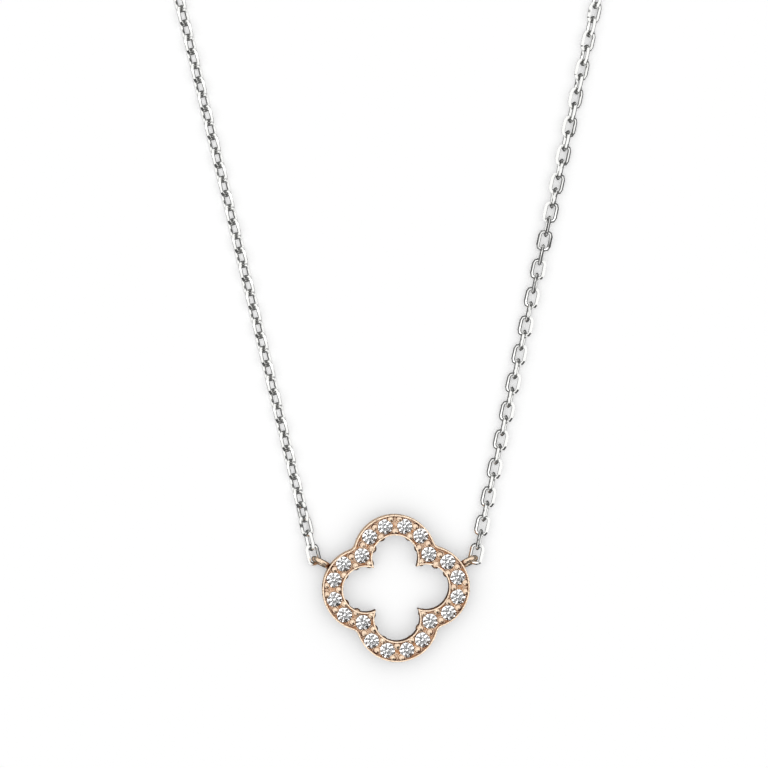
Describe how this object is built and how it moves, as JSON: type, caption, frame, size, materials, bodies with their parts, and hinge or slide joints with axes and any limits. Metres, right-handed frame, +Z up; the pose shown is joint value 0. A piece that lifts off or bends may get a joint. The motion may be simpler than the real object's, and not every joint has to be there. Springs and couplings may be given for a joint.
{
  "type": "clover pendant necklace",
  "caption": "Open four leaf clover of rose gold with a row of small bead-set brilliants, fixed by two eyelets to a fine white cable chain with a plain ring clasp.",
  "frame": {"origin": "centre of the whole necklace's box as it lies, on the surface under it", "axes": "+Z up from the surface, +Y from the clover along the necklace to its clasp, +X to the right with the stones towards the viewer"},
  "size_m": [0.0768, 0.1874, 0.0016],
  "materials": {
    "rose_gold": "polished rose gold",
    "white_gold": "polished rhodium-plated white gold",
    "diamond": "clear, brilliant cut"
  },
  "bodies": {
    "root": {"clover": "rose_gold", "stone_01": "diamond", "stone_02": "diamond", "stone_03": "diamond", "stone_04": "diamond", "stone_05": "diamond", "stone_06": "diamond", "stone_07": "diamond", "stone_08": "diamond", "stone_09": "diamond", "stone_10": "diamond", "stone_11": "diamond", "stone_12": "diamond", "stone_13": "diamond", "stone_14": "diamond", "stone_15": "diamond", "stone_16": "diamond", "stone_17": "diamond", "stone_18": "diamond", "stone_19": "diamond", "stone_20": "diamond", "end_link_left": "white_gold", "end_link_right": "white_gold", "last_link_left": "white_gold", "last_link_right": "white_gold", "chain_left": "white_gold", "chain_right": "white_gold", "clasp": "white_gold"}
  },
  "joints": []
}
